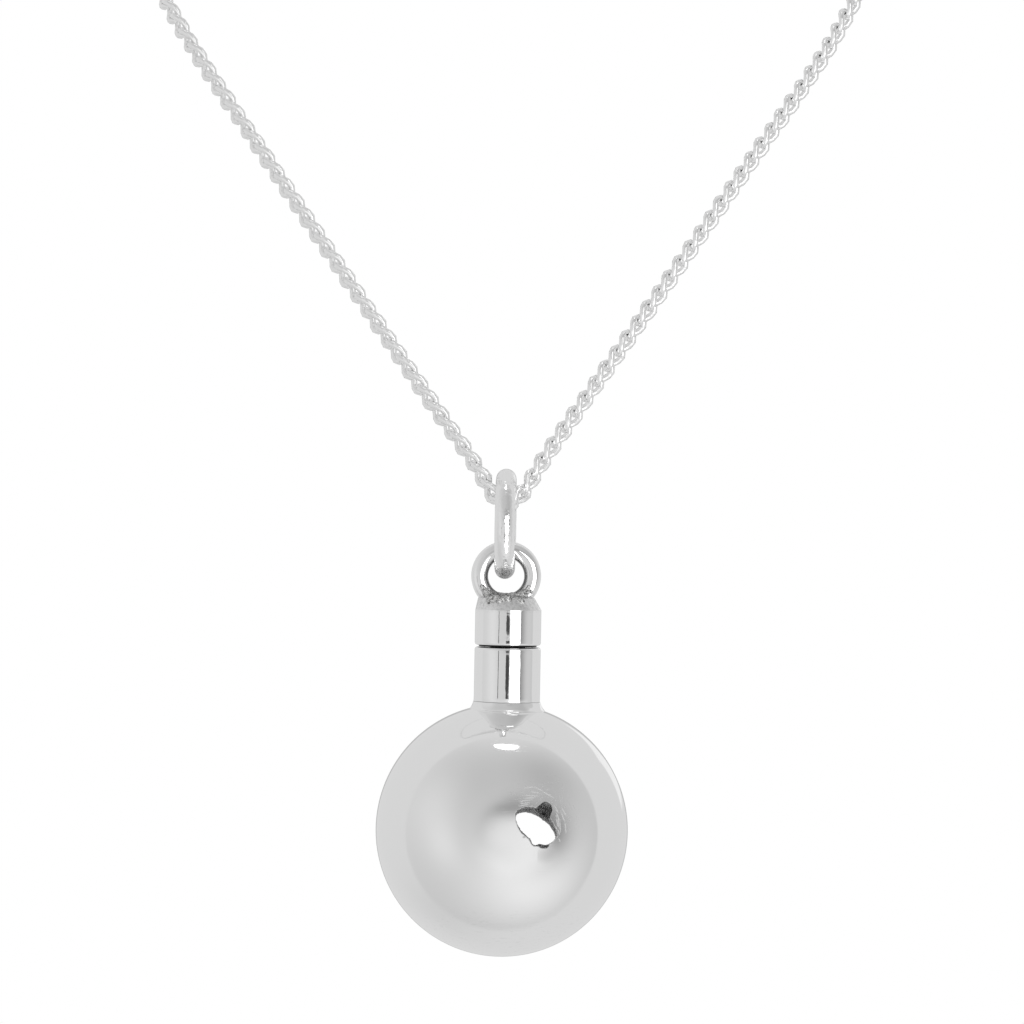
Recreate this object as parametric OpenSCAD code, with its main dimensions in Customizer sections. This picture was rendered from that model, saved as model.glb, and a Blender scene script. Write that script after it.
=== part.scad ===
// Round hollow perfume bottle, pierced by an oval hole off its middle, worn on a fine curb
// chain. Millimetres. X runs to the right and Z up as the pendant is seen from the front,
// and Y runs from the front to the back. The origin is at the nape, where the chain hangs.

/* [Bottle] */
// Diameter of the round body, seen from the front
body_d = 25.2; // [24.6:0.1:26]
// Thickness of the body from front to back
body_t = 25; // [24:0.2:25.2]
// Thickness of the silver sheet
wall = 0.7; // [0.5:0.1:0.9]
// Length of the oval hole at its waist, halfway through the body
hole_l = 4.8; // [4.5:0.1:4.9]
// Width of the oval hole at its waist
hole_w = 2.4; // [2.2:0.1:2.6]
// Length of the hole's mouths
mouth_l = 5; // [4.9:0.1:5.6]
// Width of the hole's mouths
mouth_w = 2.95; // [2.75:0.05:3.4]
// Turn of the hole, in degrees
hole_tilt = -35; // [-45:1:-25]
// Depth of the broad dent in the front, left of the hole
front_dent = 0.5; // [0.3:0.05:0.6]
// Depth of the soft dent round the back mouth
back_dent = 0.3; // [0:0.05:0.4]

/* [Neck and cap] */
// Outer diameter of the neck and of the cap
neck_d = 6.6; // [6.2:0.1:7]
// Height of the neck's mouth above the middle of the body
neck_top = 18.3; // [17.9:0.1:19]
// Diameter of the bore in the neck
bore_d = 3.6; // [3.2:0.1:3.8]
// Gap between the cap and the neck
cap_gap = 0.2; // [0.2:0.05:0.3]
// Height of the cap's straight side
cap_h = 3.6; // [3.2:0.1:4]
// Height of the cap's bevelled shoulder
shoulder_h = 1.15; // [1:0.05:1.2]
// Length of the plug under the cap
plug_l = 4.6; // [4:0.1:5]

/* [Rings] */
// Outer diameter of the loop soldered on the cap
loop_d = 7; // [6.9:0.1:7.2]
// Diameter of the loop's wire
loop_wire = 1.7; // [1.6:0.05:1.75]
// Outer diameter of the bail
bail_d = 11.04; // [10.8:0.04:11.2]
// Diameter of the bail's wire
bail_wire = 2.04; // [1.96:0.02:2.08]
// Gap left where a ring hangs on a ring
hang_gap = 0.08; // [0.06:0.01:0.12]

/* [Chain] */
// Width of the curb chain
chain_w = 1.6; // [1.4:0.05:1.62]
// Outer diameter of the clasp ring
clasp_d = 6; // [5.6:0.1:6.2]
// Diameter of the clasp ring's wire
clasp_wire = 1; // [0.9:0.05:1.1]

/* [Hidden] */
$fn = 96;

// Middle of the chain where it passes through the bail
apex = [0, -116, -112];
// The neck and the cap stand this far to the right of the body's middle and of the loop
neck_side = 0.28;
// The bail hangs this far to the left of the loop's middle
bail_side = 0.15;
// How far the loop sinks into the cap, so that solder holds it
loop_sink = 1.35;
// Solder heaped between the loop and the cap: its height, and its width at foot and top
solder_h = 0.5;
solder_foot_d = 4.8;
solder_top_d = 2.8;
// Solder collar at the foot of the neck: its width, its top, and the height of its slope
collar_d = 7.5;
collar_top = 12.85;
collar_slope = 0.45;
// Lowest point of the neck's tube, just inside the body
neck_foot = 11;
// Turn of the neck and its bore about their axis, which keeps their seams off the body's outline
seam_turn = 38;
// How far the bore is cut past both ends of the neck
past = 1;
// Clearance all round the plug in the bore, and the bevel at the plug's tip
plug_fit = 0.05;
plug_bevel = 0.4;
// Bevel at the neck's mouth and at the cap's lower edge, and how far the shoulder draws in
edge_bevel = 0.1;
shoulder_in = 0.5;
// Flat seat under the cap, which nearly closes the gap: its width, and its height in the gap
seat_d = 5.8;
seat_h = 0.14;

cap_z = neck_top + cap_gap;
shoulder_z = cap_z + cap_h;
cap_top = shoulder_z + shoulder_h;
plug_r = bore_d / 2 - plug_fit;
loop_r = (loop_d - loop_wire) / 2;
loop_z = cap_top - loop_sink + loop_d / 2;
bail_r = (bail_d - bail_wire) / 2;
bail_z = loop_z + loop_d / 2 - loop_wire - hang_gap - bail_wire / 2 + bail_r;
chain_z = bail_z + bail_r - bail_wire / 2 - hang_gap - chain_w / 2;

// Middle of the hole's waist, from the middle of the body
hole_at = [3.35, 0.25];
// From the waist to the front mouth, to the right and up; the back mouth lies the other way
hole_lean = [-0.05, 1.28];
// Middle of the front dent, its reach, and how much longer it is along the hole's turn
front_dent_at = [0.7, -0.45];
front_dent_r = 3.3;
front_dent_stretch = 1.18;
// Reach of the back dent from the middle of the back mouth
back_dent_r = 3.2;

// Sections round the body and points on each, for the outer skin and for the cavity
skin_sections = 32;
skin_points = 48;
cavity_sections = 20;
cavity_points = 36;

// The body is a hollow ball, run through by a tube that is straight from each mouth to the waist.
// The section angle v is 0 on the outline, 90 at the front mouth, 180 at the waist and 270 at the
// back mouth, and u goes round the hole.
// A positive inset moves the surface into the sheet.
function oval(size, grow, u) =
    let (a = (size.x / 2 + grow) * cos(u - hole_tilt), b = (size.y / 2 + grow) * sin(u - hole_tilt))
    [a * cos(hole_tilt) - b * sin(hole_tilt), a * sin(hole_tilt) + b * cos(hole_tilt)];
function outline(u, inset) = (body_d / 2 - inset) * [cos(u), sin(u)];
function waist(u, inset) = hole_at + oval([hole_l, hole_w], inset, u);
function mouth(u, side, inset) = hole_at + side * hole_lean + oval([mouth_l, mouth_w], inset, u);
function turned(p, a) = [p.x * cos(a) + p.y * sin(a), p.y * cos(a) - p.x * sin(a)];
function dent(p, side) =
    let (q = turned(p - front_dent_at, hole_tilt), s = front_dent_stretch,
         front = norm([q.x / s, q.y * s]) / front_dent_r,
         back = norm(p - hole_at + hole_lean) / back_dent_r)
    side > 0 ? front_dent * exp(-pow(front, 2)) : back_dent * exp(-pow(back, 2));
function dome(p, side, inset) =
    let (out = norm(p) / (body_d / 2 - inset))
    (body_t / 2 - inset) * sqrt(max(0, 1 - pow(out, 2))) - dent(p, side);
function body_point(u, v, inset) =
    let (c = cos(v), side = v > 180 ? -1 : 1, rim = mouth(u, side, inset),
         p = c > 0 ? rim * (1 - c) + outline(u, inset) * c : rim * (1 + c) - waist(u, inset) * c,
         depth = c > 0 ? dome(p, side, inset) : dome(rim, side, inset) * (1 + c))
    [p.x, -side * depth, p.y];

// Triangles of a grid of points that closes on itself both ways
function ring_faces(rows, cols) = [
    for (i = [0 : rows - 1], j = [0 : cols - 1])
        let (i2 = (i + 1) % rows, j2 = (j + 1) % cols)
        each [[i * cols + j, i2 * cols + j2, i * cols + j2],
              [i * cols + j, i2 * cols + j, i2 * cols + j2]]
];

module hollow_ring(inset, sections, points)
    polyhedron(
        [for (i = [0 : sections - 1], j = [0 : points - 1])
            body_point(j * 360 / points, i * 360 / sections, inset)],
        ring_faces(sections, points), convexity = 6);

module neck_outside()
    translate([neck_side, 0, 0]) rotate(seam_turn)
        rotate_extrude()
            polygon([[0, neck_foot], [collar_d / 2, neck_foot],
                     [collar_d / 2, collar_top - collar_slope], [neck_d / 2, collar_top],
                     [neck_d / 2, neck_top - edge_bevel], [neck_d / 2 - edge_bevel, neck_top],
                     [0, neck_top]]);

module bottle()
    color("silver") place_pendant()
        difference() {
            union() {
                difference() {
                    hollow_ring(0, skin_sections, skin_points);
                    hollow_ring(wall, cavity_sections, cavity_points);
                }
                neck_outside();
            }
            translate([neck_side, 0, neck_foot - past]) rotate(seam_turn)
                cylinder(d = bore_d, h = neck_top - neck_foot + 2 * past);
        }

module cap()
    color("gainsboro") place_pendant() {
        translate([neck_side, 0, 0])
            rotate_extrude()
                polygon([[0, cap_z - plug_l], [plug_r - plug_bevel, cap_z - plug_l],
                         [plug_r, cap_z - plug_l + plug_bevel], [plug_r, cap_z - seat_h],
                         [seat_d / 2, cap_z - seat_h], [seat_d / 2, cap_z],
                         [neck_d / 2 - edge_bevel, cap_z], [neck_d / 2, cap_z + edge_bevel],
                         [neck_d / 2, shoulder_z], [neck_d / 2 - shoulder_in, cap_top],
                         [solder_foot_d / 2, cap_top], [solder_top_d / 2, cap_top + solder_h],
                         [0, cap_top + solder_h]]);
        translate([0, 0, loop_z]) rotate([90, 0, 0]) wire_ring(loop_r, loop_wire);
    }

module bail()
    color("silver") place_pendant()
        translate([-bail_side, 0, bail_z]) rotate([0, 90, 0]) wire_ring(bail_r, bail_wire);

module wire_ring(r, wire)
    rotate_extrude() translate([r, 0]) circle(d = wire);

// Stands the pendant under the point where the chain carries it
module place_pendant()
    translate(apex - [0, 0, chain_z]) children();

// The clasp is one ring with a tag ring soldered to it, which holds the chain's other end
tag_d = 2.6;
tag_wire = 0.8;
tag_x = clasp_d / 2 + tag_d / 2 - tag_wire;

module clasp()
    color("gainsboro") {
        rotate([90, 90, 0]) wire_ring((clasp_d - clasp_wire) / 2, clasp_wire);
        translate([tag_x, 0, 0]) wire_ring((tag_d - tag_wire) / 2, tag_wire);
    }

// Route of the chain, from the tag ring down the right side to the bail, and up the left side
// to the clasp ring. Both sides hang a little unevenly.
route = [
    [5.1, 0, 0], [14, -1.5, 0], [30, -8, -0.5], [44, -18, -2], [53, -31, -5],
    [57, -46, -10], [57, -62, -18], [52.8, -76, -28], [46.3, -88, -40], [39, -97, -52],
    [32.5, -103, -64.5], [24, -107.5, -77.5], [15.7, -111, -90], [7.6, -114, -102],
    [3.6, -115.4, -108], [1.6, -116, -111.15], [0.9, -116, -111.8], [0, -116, -112],
    [-0.9, -116, -111.8], [-1.6, -116, -111.15], [-3.8, -115.4, -108], [-8.2, -114, -102],
    [-16.7, -111, -90], [-25.4, -107.5, -77.5], [-34.3, -103, -64.5], [-41.4, -97, -52],
    [-48.4, -88, -40], [-54.3, -76, -28], [-58, -62, -18], [-57.5, -46, -10], [-53, -31, -5],
    [-44, -18, -2], [-30, -8, -0.5], [-14, -1.5, 0], [-3.2, 0, 0]
];
// Rings of the tube between one point of the route and the next, and its sides
rings_per_span = 2;
tube_sides = 8;

last = len(route) - 1;

// Smooth curve through the route's points
function route_at(i, t) =
    let (p0 = route[max(i - 1, 0)], p1 = route[i], p2 = route[min(i + 1, last)],
         p3 = route[min(i + 2, last)])
    0.5 * (2 * p1 + (p2 - p0) * t + (2 * p0 - 5 * p1 + 4 * p2 - p3) * pow(t, 2)
           + (3 * p1 - p0 - 3 * p2 + p3) * pow(t, 3));
function unit(v) = v / norm(v);

path = concat([for (i = [0 : last - 1], k = [0 : rings_per_span - 1])
                   route_at(i, k / rings_per_span)], [route[last]]);
rings = len(path);

function tube_ring(i) =
    let (run = unit(path[min(i + 1, rings - 1)] - path[max(i - 1, 0)]),
         side = unit(cross(run, [0, 0, 1])), up = cross(side, run))
    [for (k = [0 : tube_sides - 1])
        path[i] + chain_w / 2 * (cos(k * 360 / tube_sides) * side
                                 + sin(k * 360 / tube_sides) * up)];

function tube_faces(rows, cols) = concat(
    [for (i = [0 : rows - 2], j = [0 : cols - 1])
        let (j2 = (j + 1) % cols)
        each [[i * cols + j, (i + 1) * cols + j, (i + 1) * cols + j2],
              [i * cols + j, (i + 1) * cols + j2, i * cols + j2]]],
    [[for (j = [0 : cols - 1]) j], [for (j = [cols - 1 : -1 : 0]) (rows - 1) * cols + j]]);

module chain()
    color("silver")
        polyhedron([for (i = [0 : rings - 1]) each tube_ring(i)],
                   tube_faces(rings, tube_sides), convexity = 10);

bottle();
cap();
bail();
chain();
clasp();
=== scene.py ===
import bpy
import bmesh
import random
from math import copysign, cos, degrees, exp, hypot, pi, radians, sin, sqrt
from mathutils import Matrix, Vector, noise


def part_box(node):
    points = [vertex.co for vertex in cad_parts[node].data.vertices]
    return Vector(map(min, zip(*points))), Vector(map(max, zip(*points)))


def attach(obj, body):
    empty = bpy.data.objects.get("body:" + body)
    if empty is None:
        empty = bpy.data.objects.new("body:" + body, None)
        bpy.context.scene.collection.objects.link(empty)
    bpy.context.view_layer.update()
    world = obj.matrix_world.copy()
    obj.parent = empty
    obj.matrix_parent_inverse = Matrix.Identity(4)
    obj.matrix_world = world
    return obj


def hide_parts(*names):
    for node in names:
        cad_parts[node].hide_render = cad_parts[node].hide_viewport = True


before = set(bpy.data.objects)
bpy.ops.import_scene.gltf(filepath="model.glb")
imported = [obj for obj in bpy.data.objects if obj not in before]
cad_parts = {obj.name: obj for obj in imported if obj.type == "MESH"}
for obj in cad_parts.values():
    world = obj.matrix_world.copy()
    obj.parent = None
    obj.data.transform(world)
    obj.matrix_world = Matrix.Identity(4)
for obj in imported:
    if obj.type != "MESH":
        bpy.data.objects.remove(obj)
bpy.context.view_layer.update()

mm = 0.001  # every size below is in millimetres unless its note says otherwise
turn = 2 * pi
right, back, up = Vector((1, 0, 0)), Vector((0, 1, 0)), Vector((0, 0, 1))

# The ball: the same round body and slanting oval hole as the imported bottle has
ball = {
    "across": 25.2,
    "thick": 24.9,
    "waistLength": 4.8,
    "waistWidth": 2.4,
    "mouthLength": 5.0,
    "mouthWidth": 2.95,
    "holeTurn": -35,  # degrees
    "waistAt": (3.35, 0.25),  # right of the ball's middle and above it
    "mouthLean": (-0.05, 1.28),  # front mouth from the waist, the back one goes the other way
    # uneven places of the front mouth, mostly chips: way round and spread in degrees, growth, and how blunt
    "mouthChips": [(57, 15, 0.88, 4), (-81, 13, 0.4, 4), (-104, 10, 0.4, 2), (125, 36, -0.3, 2),
                   (10, 30, -0.2, 2), (-38, 18, -0.14, 2), (180, 30, -0.2, 2)],
    "waistChips": [(-105, 10, 0.38, 4)],
    # where the front half of the hole's wall is crusted black: way round, spread, amount
    "crust": [(57, 20, 0.7), (118, 34, 0.5), (-77, 16, 0.7), (200, 40, 0.15)],
    "crustBase": 0.1,
    "backCrust": 0.7,
    # stretch is along the hole's turn
    "frontDent": {"depth": 0.5, "at": (0.7, -0.45), "reach": 3.3, "stretch": 1.18},
    "backDent": {"depth": 0.3, "reach": 3.2},  # round the back mouth
    "besideLip": 0.004,  # place of a row close beside the lip, so that the lip's bend doesn't shade the ball
    "lipRadius": 0.035,
    "lipSteps": 3,
    "ballSteps": 84,  # rows from the outline to a mouth
    "wallSteps": 22,  # rows from a mouth to the waist
    "roundSteps": 224,
    "wallLumps": 0.12,
    "wallNoise": (0.6, 2.2, 4),  # fall from one size of lump to the next, their ratio, and how many sizes
    "wallWaves": (1.3, 0.8),  # across the wall and along its depth
    "lipLumps": 0.05,
    "lipWaves": 3,
    "rubbedAt": (0.45, 0.89),  # the rubbed lines lie on this side of the front mouth
    "rubbedWaves": 40,
}

bottleLow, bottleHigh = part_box("bottle")
capLow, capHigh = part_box("cap")
# Middle of the ball: half its width above its lowest point, and from front to back under the cap's middle
ballMiddle = Vector(((bottleLow.x + bottleHigh.x) / 2, (capLow.y + capHigh.y) / 2,
                     bottleLow.z + ball["across"] / 2 * mm))
print("frame read, ball's middle at", [round(v, 4) for v in ballMiddle])


# Helpers for meshes

def clamped(value):
    return min(1.0, max(0.0, value))


def addObject(name, data):
    thing = bpy.data.objects.new(name, data)
    bpy.context.scene.collection.objects.link(thing)
    return thing


def mark(mesh, name, values):
    # one number for each point, which the piece's finish reads
    mesh.attributes.new(name, "FLOAT", "POINT").data.foreach_set("value", values)


def finishMesh(name, mesh, material, smooth=True):
    mesh.polygons.foreach_set("use_smooth", [smooth] * len(mesh.polygons))
    mesh.materials.clear()
    mesh.materials.append(material)
    return addObject(name, mesh)


def newMesh(name, points, edges=(), faces=()):
    mesh = bpy.data.meshes.new(name)
    mesh.from_pydata([tuple(p) for p in points], edges, faces)
    return mesh


def meshFrom(name, work):
    # a mesh of what was built in a bmesh
    mesh = bpy.data.meshes.new(name)
    work.to_mesh(mesh)
    work.free()
    return mesh


def bakedMesh(thing):
    # the thing's shape after its modifiers, as a mesh of its own, and the thing goes
    shaped = thing.evaluated_get(bpy.context.evaluated_depsgraph_get())
    mesh = bpy.data.meshes.new_from_object(shaped)
    bpy.data.objects.remove(thing)
    return mesh


def gridMesh(name, rows, cols, points):
    # a closed skin over rows of points, the last row and column joined to the first
    faces = []
    for i in range(rows):
        for j in range(cols):
            nextI, nextJ = (i + 1) % rows, (j + 1) % cols
            faces.append((i * cols + j, nextI * cols + j, nextI * cols + nextJ, i * cols + nextJ))
    return outward(newMesh(name, points, faces=faces))


def outward(mesh):
    # turns the faces of a closed mesh outwards if its volume comes out negative
    work = bmesh.new()
    work.from_mesh(mesh)
    if work.calc_volume(signed=True) < 0:
        bmesh.ops.reverse_faces(work, faces=work.faces)
    work.to_mesh(mesh)
    work.free()
    return mesh


def latheMesh(name, profile, steps, middle):
    # profile is a closed loop of (radius, height) in millimetres, turned round the upright axis
    points = []
    for radius, height in profile:
        for j in range(steps):
            a = turn * j / steps
            points.append(middle + Vector((radius * cos(a), radius * sin(a), height)) * mm)
    return gridMesh(name, len(profile), steps, points)


def arc(centreR, centreZ, radius, fromDeg, toDeg, steps):
    # points of an arc in the profile's plane, 0 degrees outwards and 90 up
    found = []
    for k in range(steps + 1):
        a = radians(fromDeg + (toDeg - fromDeg) * k / steps)
        found.append((centreR + radius * cos(a), centreZ + radius * sin(a)))
    return found


def ringMesh(name, middle, across, upright, width, wire, bigSteps, wireSteps, shape=None):
    # a wire ring in the plane of across and upright, both unit vectors
    through = across.cross(upright)
    bigRadius = (width - wire) / 2
    points = []
    for i in range(bigSteps):
        a = turn * i / bigSteps
        out = across * cos(a) + upright * sin(a)
        for j in range(wireSteps):
            b = turn * j / wireSteps
            thick = wire / 2 * (shape(a, b) if shape else 1.0)
            points.append(middle + (out * (bigRadius + thick * cos(b)) + through * thick * sin(b)) * mm)
    return gridMesh(name, bigSteps, wireSteps, points)


# Helpers for node trees

class Nodes:
    # short ways to add nodes to one tree and wire them up
    def __init__(self, tree):
        self.tree = tree

    def add(self, kind, inputs=None, **settings):
        node = self.tree.nodes.new(kind)
        for key, value in settings.items():
            setattr(node, key, value)
        for key, value in (inputs or {}).items():
            self.feed(value, node.inputs[key])
        return node

    def feed(self, value, socket):
        # a node stands for its first output
        if isinstance(value, bpy.types.Node):
            value = value.outputs[0]
        if isinstance(value, bpy.types.NodeSocket):
            self.tree.links.new(value, socket)
        else:
            socket.default_value = value

    def math(self, operation, *values, clamp=False):
        return self.add("ShaderNodeMath", dict(enumerate(values)), operation=operation, use_clamp=clamp)

    def times(self, a, b):
        return self.math("MULTIPLY", a, b)

    def plus(self, a, b):
        return self.math("ADD", a, b)

    def minus(self, a, b):
        return self.math("SUBTRACT", a, b)

    def vector(self, operation, *values, result="Vector"):
        node = self.add("ShaderNodeVectorMath", dict(enumerate(values)), operation=operation)
        return node.outputs[result]

    def dot(self, a, b):
        return self.vector("DOT_PRODUCT", a, b, result="Value")

    def scaled(self, value, factor):
        return self.add("ShaderNodeVectorMath", {0: value, "Scale": factor}, operation="SCALE")

    def part(self, value, axis):
        return self.add("ShaderNodeSeparateXYZ", {"Vector": value}).outputs[axis]

    def attribute(self, name, output="Fac"):
        return self.add("ShaderNodeAttribute", attribute_name=name).outputs[output]

    def ramp(self, value, low, high, toLow=0.0, toHigh=1.0):
        inputs = {"Value": value, "From Min": low, "From Max": high, "To Min": toLow, "To Max": toHigh}
        return self.add("ShaderNodeMapRange", inputs, interpolation_type="SMOOTHSTEP")

    def blend(self, factor, atZero, atOne):
        # one number to another
        return self.plus(self.times(self.minus(1.0, factor), atZero), self.times(factor, atOne))

    def noise(self, place, scale, detail=2.0, rough=0.5):
        inputs = {"Vector": place, "Scale": scale, "Detail": detail, "Roughness": rough}
        return self.add("ShaderNodeTexNoise", inputs)

    def stretched(self, place, scale):
        return self.add("ShaderNodeMapping", {"Vector": place, "Scale": scale})


def emptyNodes(holder):
    # the node tree of a material or a world, with nothing in it
    holder.use_nodes = True
    holder.node_tree.nodes.clear()
    return Nodes(holder.node_tree)


# Silver finishes

# hair: how fine the brushed lines are along each axis; wave: soft unevenness; mottle: stains where it is worn
finishes = {
    "bottle": {"hair": (0.25, 0.25, 7.0), "hairDepth": 0.2, "wave": 0.3, "waveDepth": 0.012, "pits": 0.05,
               "tarnish": True},
    "cap": {"smudge": 0.05, "hair": (7.0, 7.0, 0.3), "hairDepth": 0.05, "wave": 0.9, "waveDepth": 0.008,
            "pits": 0.08, "mottle": 0.3, "mottleDepth": 0.05},
    "solder": {"colour": (0.66, 0.66, 0.655), "rough": 0.22, "smudge": 0.15, "hair": (3.0, 3.0, 3.0),
               "hairDepth": 0.3, "wave": 2.6, "waveDepth": 0.08, "pits": 0.4, "mottle": 0.72,
               "mottleDepth": 0.12},
    "bail": {"rough": 0.06, "smudge": 0.08, "hair": (4.0, 0.6, 0.6), "hairDepth": 0.1, "wave": 1.8,
             "waveDepth": 0.07, "pits": 0.3, "mottle": 0.45, "mottleDepth": 0.1},
    "chain": {"colour": (0.95, 0.95, 0.95), "rough": 0.10, "smudge": 0.05, "hair": (6.0, 6.0, 6.0),
              "hairDepth": 0.05, "wave": 2.0, "waveDepth": 0.05, "pits": 0.0},
    "clasp": {"rough": 0.08, "hair": (4.0, 4.0, 0.6), "hairDepth": 0.1, "wave": 1.5, "waveDepth": 0.05,
              "pits": 0.3},
}
plain = {"colour": (0.93, 0.93, 0.93), "rough": 0.04, "smudge": 0.06}  # where a finish doesn't say otherwise

# Noises of the finishes: scale to the millimetre, detail, and roughness
patterns = {
    "smudge": (0.35, 4.0, 0.6),
    "hair": (1.0, 3.0, 0.7),
    "patch": (0.5, 2.0),
    "crumb": (3.4, 5.0, 0.7),
    "crust": (3.8, 5.0, 0.8),
    "fleck": (4.5, 3.0, 0.7),
    "smut": (1.0, 4.0, 0.7),
    "pitScale": 1.4,
}
# Where a pattern starts to show, and from where it shows in full
limits = {
    "patch": (0.42, 0.62),
    "line": (0.6, 0.68),
    "pit": (0.03, 0.1),  # the other way round, it fades from the first to the second
    "pitted": (0.5, 0.7),
    "smudge": (0.35, 0.75),
    "stain": (0.46, 0.6),
    "fleck": (0.46, 0.53),
    "rubbed": (0.56, 0.64),
    "smut": (0.56, 0.66),
}


def makeSilver(kind):
    look = plain | finishes[kind]
    material = bpy.data.materials.new(kind + "Silver")
    n = emptyNodes(material)
    # the patterns' unit is a millimetre
    place = n.scaled(n.add("ShaderNodeTexCoord").outputs["Object"], 1 / mm)
    smudge = n.noise(place, *patterns["smudge"])
    hair = n.noise(n.stretched(place, look["hair"]), *patterns["hair"])
    patch = n.ramp(n.noise(place, *patterns["patch"]), *limits["patch"])
    lines = n.times(n.ramp(hair, *limits["line"]), patch)
    cells = n.add("ShaderNodeTexVoronoi", {"Vector": place, "Scale": patterns["pitScale"]})
    pit = n.ramp(cells, *limits["pit"], 1.0, 0.0)
    pit = n.times(n.times(pit, n.ramp(smudge, *limits["pitted"])), look["pits"])
    rough = n.ramp(smudge, *limits["smudge"], look["rough"], look["rough"] + look["smudge"])
    rough = n.plus(rough, n.times(lines, 0.06))
    rough = n.plus(rough, n.times(pit, 0.3))
    wave = n.noise(place, look["wave"], 2.0)
    height = n.plus(n.times(wave, look["waveDepth"]), n.times(lines, -0.01 * look["hairDepth"]))
    height = n.plus(height, n.times(pit, -0.05))
    shade = n.minus(1.0, n.times(pit, 0.5))
    if kind in ("cap", "bail"):
        # painted shade: black in the gap under the cap, and darker in the groove over the collar and on the
        # cap's shoulder; the loop's inner rim has dirt and painted contact shade, and the bail's rubbed place
        # is a little dirty
        seam = n.attribute("seam")
        rough = n.plus(rough, n.times(seam, 0.4))
        shade = n.times(shade, n.minus(1.0, n.times(seam, 0.93)))
    if "mottle" in look:
        # rough and mottled where solder ran, and where the rings rub
        worn = n.attribute("worn")
        crumb = n.noise(place, *patterns["crumb"])
        rough = n.plus(rough, n.times(worn, 0.18))
        height = n.plus(height, n.times(worn, n.times(crumb, look["mottleDepth"])))
        stain = n.times(n.ramp(crumb, *limits["stain"]), look["mottle"])
        shade = n.times(shade, n.minus(1.0, n.times(worn, stain)))
    if "tarnish" in look:
        height, rough, shade, pale = addTarnish(n, place, height, rough, shade)
    colour = n.scaled(look["colour"], shade)
    normal = n.add("ShaderNodeBump", {"Height": height, "Strength": 1.0, "Distance": mm})
    metal = n.minus(1.0, pale) if "tarnish" in look else 1.0
    shader = n.add("ShaderNodeBsdfPrincipled", {"Base Color": colour, "Metallic": metal, "Roughness": rough,
                                                "Normal": normal})
    n.add("ShaderNodeOutputMaterial", {"Surface": shader})
    return material


marks = {
    # fine scratches on the front round the hole: from and to, each right of the ball's middle and above it
    "scratches": [
        (2.07, 5.04, 3.17, 5.13), (3.17, 5.13, 3.86, 4.75), (3.86, 4.75, 5.0, 4.08),
        (2.12, 4.04, 3.19, 4.13), (1.74, 3.54, 2.71, 3.66), (5.26, 2.74, 5.66, 1.78),
        (5.66, 1.78, 5.73, 0.72), (5.74, 2.73, 6.15, 1.77), (6.15, 1.77, 6.26, 0.7),
        (2.12, 4.36, 3.48, 4.26), (1.64, 3.76, 2.9, 3.92), (1.65, 3.31, 2.62, 3.49),
        (2.69, 4.71, 3.67, 4.52), (5.1, 3.32, 5.5, 2.64), (5.46, 2.26, 5.59, 1.11), (5.84, 3.11, 6.24, 2.34),
        (5.31, 2.17, 5.45, 1.3), (4.94, 1.49, 5.11, 1.11), (5.11, 1.01, 5.27, 0.68),
        (5.48, 1.06, 5.64, 0.52), (5.38, 0.74, 5.43, 0.3), (5.59, 0.19, 5.7, -0.13), (5.25, 1.35, 5.38, 1.0),
    ],
    "scratchWide": 0.1,
    "scratchPale": 0.9,
    # a stain on the front, and a patch of painted shade right of the hole: middle, reach to the side and up,
    # how dark, and where a straight left edge cuts them
    "stainsAndShade": [((2.19, 0.32), 0.16, 0.12, 0.45, 0), ((4.1, -1.45), 1.0, 0.75, 0.15, 3.53)],
}


def addMarks(n, place, shade, pale):
    # place without its depth, from the ball's middle
    flat = n.vector("MULTIPLY", n.vector("SUBTRACT", place, ballMiddle / mm), (1.0, 0.0, 1.0))
    front = n.ramp(n.part(place, "Y"), ballMiddle.y / mm - 9.0, ballMiddle.y / mm - 5.0, 1.0, 0.0)
    for fromX, fromZ, toX, toZ in marks["scratches"]:
        run = Vector((toX - fromX, 0, toZ - fromZ))
        off = n.vector("SUBTRACT", flat, (fromX, 0, fromZ))
        share = n.math("DIVIDE", n.dot(off, run), run.length_squared, clamp=True)
        gap = n.vector("DISTANCE", off, n.scaled(run, share), result="Value")
        ends = n.ramp(n.math("ABSOLUTE", n.minus(share, 0.5)), 0.25, 0.5, 1.0, 0.35)
        line = n.times(n.ramp(gap, 0.0, marks["scratchWide"], 1.0, 0.0), n.times(front, ends))
        pale = n.math("MAXIMUM", pale, n.times(line, marks["scratchPale"]))
    # one stain, and one patch of painted shade right of the hole, cut by its straight left edge
    for (x, z), wide, high, amount, cut in marks["stainsAndShade"]:
        off = n.vector("SUBTRACT", flat, (x, 0, z))
        gap = n.vector("LENGTH", n.vector("DIVIDE", off, (wide, 1.0, high)), result="Value")
        stain = n.times(n.ramp(gap, 0.2, 1.4, 1.0, 0.0), n.times(front, amount))
        if cut:
            stain = n.times(stain, n.ramp(n.part(flat, "X"), cut - 0.04, cut + 0.04))
        shade = n.times(shade, n.minus(1.0, stain))
    return shade, pale


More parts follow.
